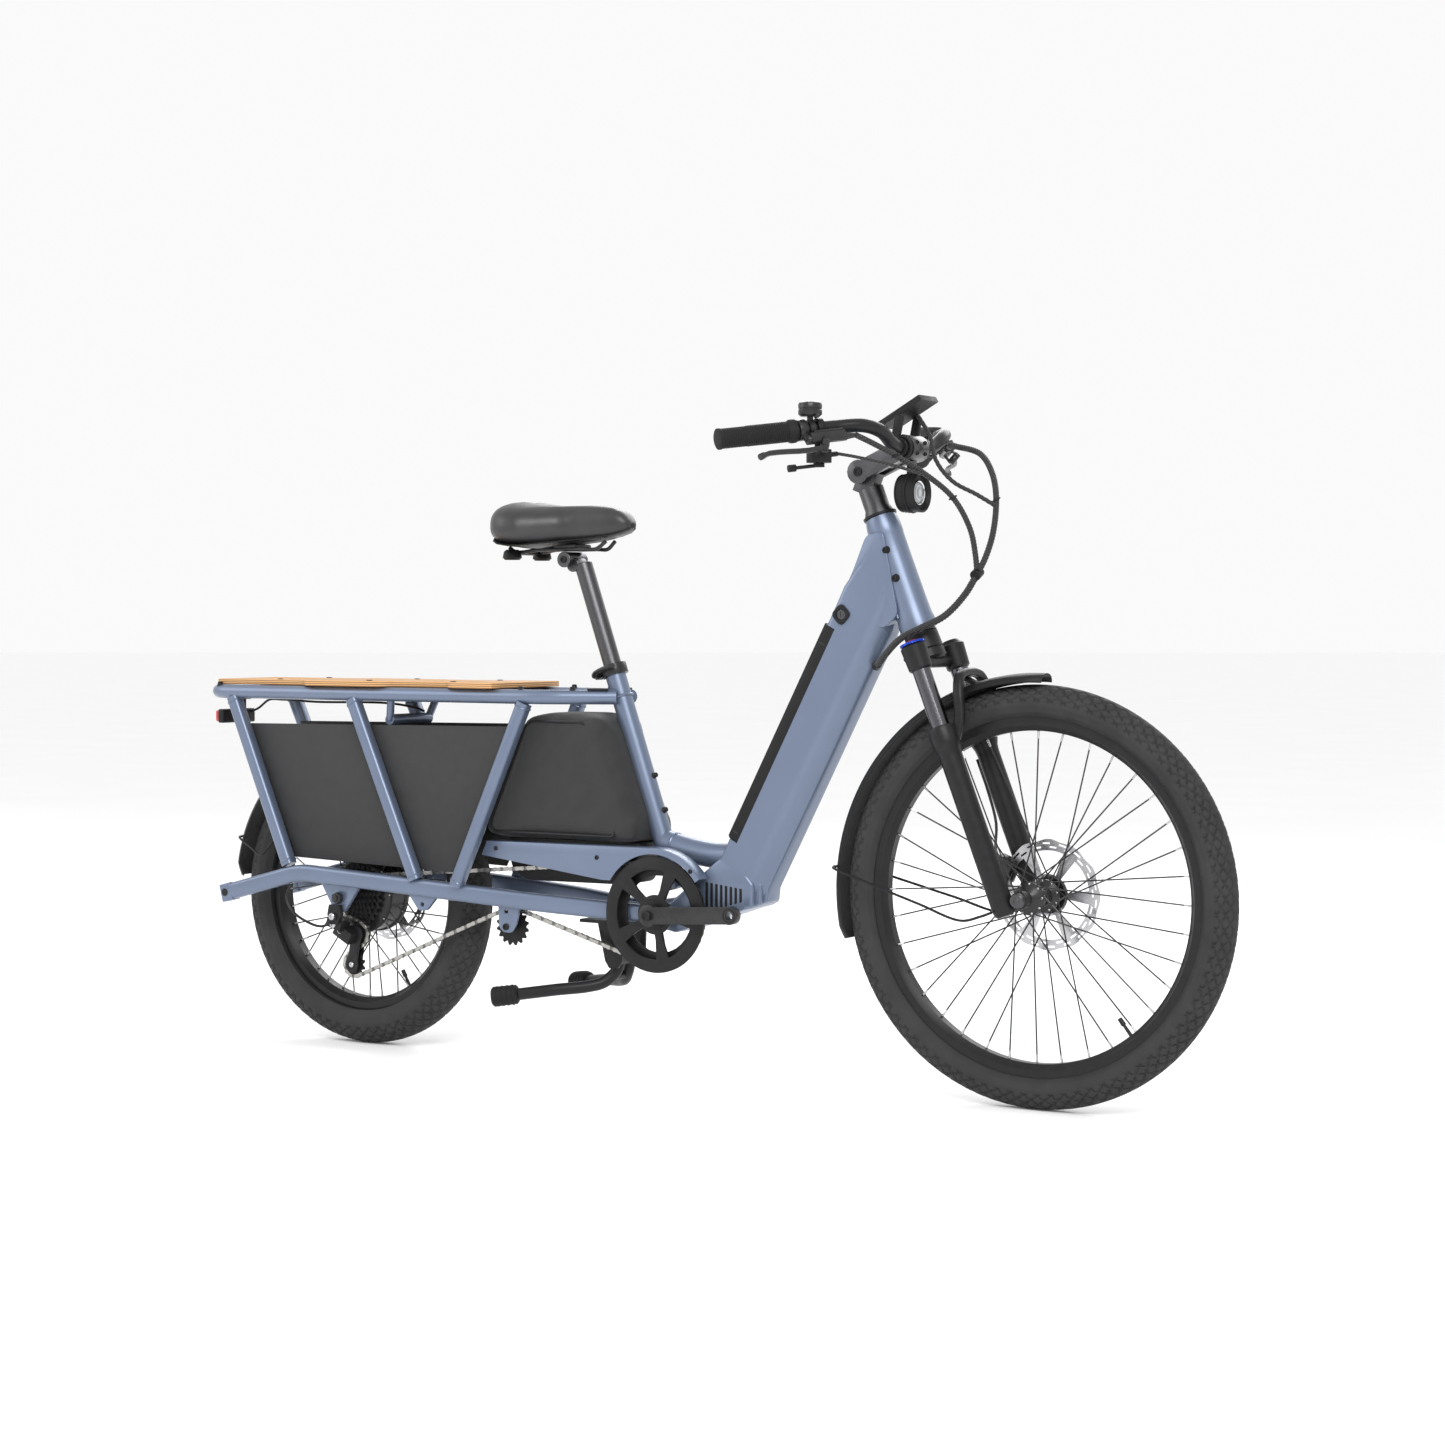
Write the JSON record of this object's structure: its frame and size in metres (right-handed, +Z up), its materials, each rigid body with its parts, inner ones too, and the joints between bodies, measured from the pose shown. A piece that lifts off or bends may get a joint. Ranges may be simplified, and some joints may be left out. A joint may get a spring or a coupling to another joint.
{
  "type": "cargo bicycle",
  "caption": "Long-tail electric cargo bicycle with a low step-through frame, rear deck over side panels, hub motor, suspension fork and folded twin-leg stand.",
  "frame": {"origin": "on the ground, midway between the rear end of the tail light and the front of the front tyre, in the middle plane", "axes": "+X towards the front wheel, +Y to the rider's left (away from the chain), +Z up; steering straight, suspension extended, stand folded"},
  "size_m": [2.0369, 0.6928, 1.1447],
  "materials": {
    "blue_paint": "satin",
    "black_metal": "satin",
    "dark_metal": "satin",
    "steel": "brushed",
    "alloy_black": "anodised",
    "tyre": "matt",
    "rubber": "matt",
    "plastic": "matt",
    "deck": "clear-coated plywood",
    "bag": "woven",
    "panel": "matt",
    "saddle": "smooth",
    "dial": "anodised",
    "lens": "gloss"
  },
  "bodies": {
    "frame": {"main_frame": "blue_paint", "seat_tube": "blue_paint", "rack_loop": "blue_paint", "side_frame_right": "blue_paint", "side_frame_left": "blue_paint", "side_panel_right": "panel", "side_panel_left": "panel", "deck_board": "deck", "storage_bag": "bag", "rear_fender": "plastic", "tail_light": "lens", "seat_clamp": "alloy_black", "chain_guard": "blue_paint", "kickstand_bracket": "black_metal", "rear_axle": "black_metal", "rear_caliper": "alloy_black", "chain": "steel", "derailleur": "black_metal"},
    "battery": {"battery_pack": "plastic"},
    "key": {"key_lock": "steel"},
    "post": {"seatpost": "dark_metal"},
    "seat": {"saddle": "saddle", "saddle_rails": "black_metal"},
    "clamp_lever": {"seat_clamp_lever": "alloy_black"},
    "crank": {"chainring": "alloy_black", "crank_right": "alloy_black", "crank_left": "alloy_black"},
    "rear_wheel": {"rear_tyre": "tyre", "rear_rim": "alloy_black", "hub_motor": "alloy_black", "rear_disc": "steel"},
    "cassette_stack": {"cassette": "black_metal"},
    "idler": {"idler_wheel": "plastic"},
    "tension": {"tension_pulley": "plastic"},
    "guide": {"guide_pulley": "plastic"},
    "stand": {"kickstand_legs": "alloy_black"},
    "steerer": {"fork_crown": "alloy_black", "stem_base": "dark_metal"},
    "preload": {"preload_dial": "dial"},
    "bars": {"stem_arm": "dark_metal", "handlebar": "alloy_black", "grip_right": "rubber", "grip_left": "rubber", "brake_perch_right": "dark_metal", "brake_perch_left": "dark_metal", "shifter_pod": "plastic", "bell": "alloy_black", "display": "plastic", "cable_bundle": "plastic"},
    "headlight": {"headlight": "plastic"},
    "lever_right": {"brake_lever_right": "dark_metal"},
    "lever_left": {"brake_lever_left": "dark_metal"},
    "shifter": {"shifter_lever": "plastic"},
    "lowers": {"fork_lowers": "alloy_black", "front_caliper": "alloy_black", "front_fender": "plastic"},
    "front_wheel": {"front_tyre": "tyre", "front_rim": "alloy_black", "front_hub": "alloy_black", "front_disc": "steel"}
  },
  "joints": [
    {"name": "steering", "type": "hinge", "parent": "frame", "child": "steerer", "pos_m": [0.43048, 0, 0.85426], "axis": [-0.3649, 0, 0.9311], "range_deg": [-48, 48], "deforming": ["cable_bundle"]},
    {"name": "stem_tilt", "type": "hinge", "parent": "steerer", "child": "bars", "pos_m": [0.36408, 0, 1.02371], "axis": [0, -1, 0], "range_deg": [-4, 20], "deforming": ["cable_bundle"]},
    {"name": "fork_travel", "type": "slide", "parent": "steerer", "child": "lowers", "axis": [-0.3649, 0, 0.9311], "range_m": [0, 0.048], "stiffness_N_per_m": 15000},
    {"name": "front_wheel_spin", "type": "hinge", "parent": "lowers", "child": "front_wheel", "pos_m": [0.67915, 0, 0.3395], "axis": [0, 1, 0], "continuous": true},
    {"name": "preload_turn", "type": "hinge", "parent": "steerer", "child": "preload", "pos_m": [0.48783, -0.066, 0.74355], "axis": [-0.3649, 0, 0.9311], "range_deg": [0, 270]},
    {"name": "headlight_tilt", "type": "hinge", "parent": "bars", "child": "headlight", "pos_m": [0.45135, 0, 1.026], "axis": [0, 1, 0], "range_deg": [-8, 10]},
    {"name": "brake_pull_right", "type": "hinge", "parent": "bars", "child": "lever_right", "pos_m": [0.41484, -0.21891, 1.05478], "axis": [-0.4652, 0.4492, -0.7628], "range_deg": [0, 13], "stiffness_Nm_per_rad": 1.2},
    {"name": "brake_pull_left", "type": "hinge", "parent": "bars", "child": "lever_left", "pos_m": [0.41484, 0.21891, 1.05478], "axis": [0.4652, 0.4492, 0.7628], "range_deg": [0, 13], "stiffness_Nm_per_rad": 1.2},
    {"name": "shift_push", "type": "hinge", "parent": "bars", "child": "shifter", "pos_m": [0.38958, -0.19579, 1.0258], "axis": [0, 0, 1], "range_deg": [0, 25], "stiffness_Nm_per_rad": 0.3},
    {"name": "seat_height", "type": "slide", "parent": "frame", "child": "post", "axis": [-0.3312, 0, 0.9436], "range_m": [-0.11, 0.06]},
    {"name": "saddle_tilt", "type": "hinge", "parent": "post", "child": "seat", "pos_m": [-0.22194, 0, 0.886], "axis": [0, 1, 0], "range_deg": [-9, 9]},
    {"name": "clamp_release", "type": "hinge", "parent": "frame", "child": "clamp_lever", "pos_m": [-0.16219, -0.018, 0.684], "axis": [0, -1, 0], "range_deg": [0, 100]},
    {"name": "battery_release", "type": "slide", "parent": "frame", "child": "battery", "axis": [-0.8858, 0, 0.4641], "range_m": [0, 0.08]},
    {"name": "key_turn", "type": "hinge", "parent": "frame", "child": "key", "pos_m": [0.34235, -0.038, 0.79], "axis": [0, -1, 0], "range_deg": [0, 90]},
    {"name": "crank_spin", "type": "hinge", "parent": "frame", "child": "crank", "pos_m": [-0.00665, 0, 0.279], "axis": [0, 1, 0], "continuous": true},
    {"name": "rear_wheel_spin", "type": "hinge", "parent": "frame", "child": "rear_wheel", "pos_m": [-0.68165, 0, 0.2742], "axis": [0, 1, 0], "continuous": true},
    {"name": "cassette_spin", "type": "hinge", "parent": "frame", "child": "cassette_stack", "pos_m": [-0.68165, 0, 0.2742], "axis": [0, 1, 0], "continuous": true},
    {"name": "idler_spin", "type": "hinge", "parent": "frame", "child": "idler", "pos_m": [-0.31565, -0.052, 0.241], "axis": [0, 1, 0], "continuous": true},
    {"name": "tension_pulley_spin", "type": "hinge", "parent": "frame", "child": "tension", "pos_m": [-0.67365, -0.052, 0.15], "axis": [0, 1, 0], "continuous": true},
    {"name": "guide_pulley_spin", "type": "hinge", "parent": "frame", "child": "guide", "pos_m": [-0.66365, -0.052, 0.206], "axis": [0, 1, 0], "continuous": true},
    {"name": "kickstand_swing", "type": "hinge", "parent": "frame", "child": "stand", "pos_m": [-0.11165, 0, 0.193], "axis": [0, -1, 0], "range_deg": [0, 74]}
  ],
  "couplings": [
    {"joint": "cassette_spin", "follows": "crank_spin", "ratio": 2.4444},
    {"joint": "idler_spin", "follows": "crank_spin", "ratio": -2.75},
    {"joint": "tension_pulley_spin", "follows": "crank_spin", "ratio": 4},
    {"joint": "guide_pulley_spin", "follows": "crank_spin", "ratio": -4}
  ]
}
